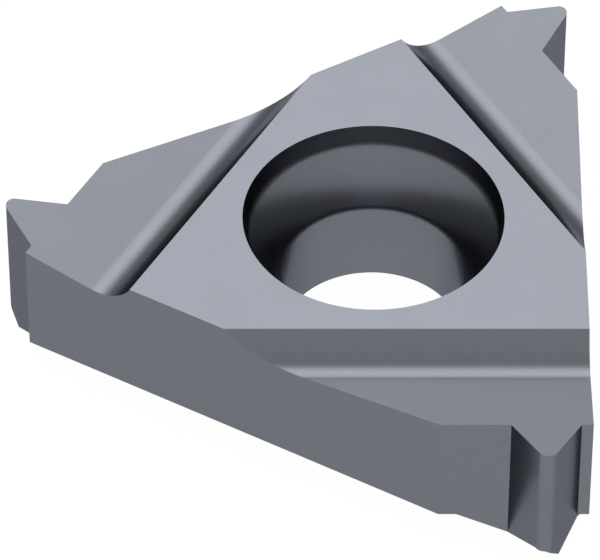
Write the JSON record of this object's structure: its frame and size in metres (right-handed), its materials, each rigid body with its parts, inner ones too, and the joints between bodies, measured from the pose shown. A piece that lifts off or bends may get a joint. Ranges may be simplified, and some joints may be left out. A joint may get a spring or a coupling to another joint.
{
  "type": "thread turning insert",
  "caption": "Triangular lay-down insert of ground cemented carbide with a thread tooth, raked land and chip groove on each corner and a countersunk screw hole.",
  "frame": {"origin": "on the screw hole's axis, in the plane of the bottom face", "axes": "+Z along the screw hole out of the top face, -Y towards the first corner's cutting edge, +X out of that corner's locating side face"},
  "size_m": [0.0131, 0.0147, 0.0039],
  "materials": {
    "carbide": "fine ground satin, bluish grey"
  },
  "bodies": {
    "root": {"insert": "carbide"}
  },
  "joints": []
}
